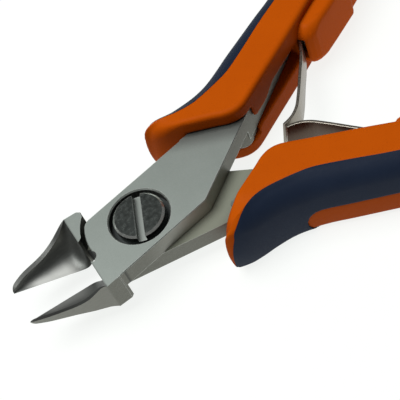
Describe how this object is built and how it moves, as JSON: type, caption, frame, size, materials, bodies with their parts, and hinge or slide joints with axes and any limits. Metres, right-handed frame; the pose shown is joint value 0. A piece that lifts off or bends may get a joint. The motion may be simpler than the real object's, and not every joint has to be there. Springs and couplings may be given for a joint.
{
  "type": "diagonal cutting pliers",
  "caption": "Slim flush-cutting side cutters: lap-jointed steel levers on a slotted pivot screw, two-tone cushioned grips and a pair of leaf return springs.",
  "frame": {"origin": "on the pivot screw's axis, at the joint's flat underside", "axes": "+X from the pivot towards the handles along their bisector, +Y towards the upper lever's handle, +Z along the pivot axis towards the screw's slotted head"},
  "size_m": [0.1455, 0.0826, 0.0122],
  "materials": {
    "bead_blasted_steel": "satin",
    "polished_steel": "polished",
    "orange_plastic": "fine moulded texture",
    "navy_rubber": "soft matte",
    "spring_steel": "rolled strip",
    "pin_steel": "ground"
  },
  "bodies": {
    "lower_arm": {"lower_lever": "bead_blasted_steel", "lower_grip_core": "orange_plastic", "lower_grip_pad": "navy_rubber", "lower_spring_holder": "orange_plastic", "lower_spring_pin": "pin_steel", "pivot_screw": "polished_steel"},
    "upper_arm": {"upper_lever": "bead_blasted_steel", "upper_grip_core": "orange_plastic", "upper_grip_pad": "navy_rubber", "upper_spring_holder": "orange_plastic", "upper_spring_pin": "pin_steel"},
    "lower_leaf": {"lower_leaf_spring": "spring_steel"},
    "upper_leaf": {"upper_leaf_spring": "spring_steel"}
  },
  "joints": [
    {"name": "pivot", "type": "hinge", "parent": "lower_arm", "child": "upper_arm", "pos_m": [0, 0, 0.0031], "axis": [0, 0, 1], "range_deg": [-15.5, 0], "stiffness_Nm_per_rad": 1.5, "springref_deg": 4.58},
    {"name": "upper_leaf_flex", "type": "hinge", "parent": "upper_arm", "child": "upper_leaf", "pos_m": [0.0398, 0.0147, 0.0031], "axis": [0, 0, 1], "range_deg": [-14, 0]},
    {"name": "lower_leaf_flex", "type": "hinge", "parent": "lower_arm", "child": "lower_leaf", "pos_m": [0.0398, -0.0147, 0.0031], "axis": [0, 0, 1], "range_deg": [0, 14]}
  ],
  "couplings": [
    {"joint": "upper_leaf_flex", "follows": "pivot", "ratio": 0.88},
    {"joint": "lower_leaf_flex", "follows": "pivot", "ratio": -0.88}
  ]
}
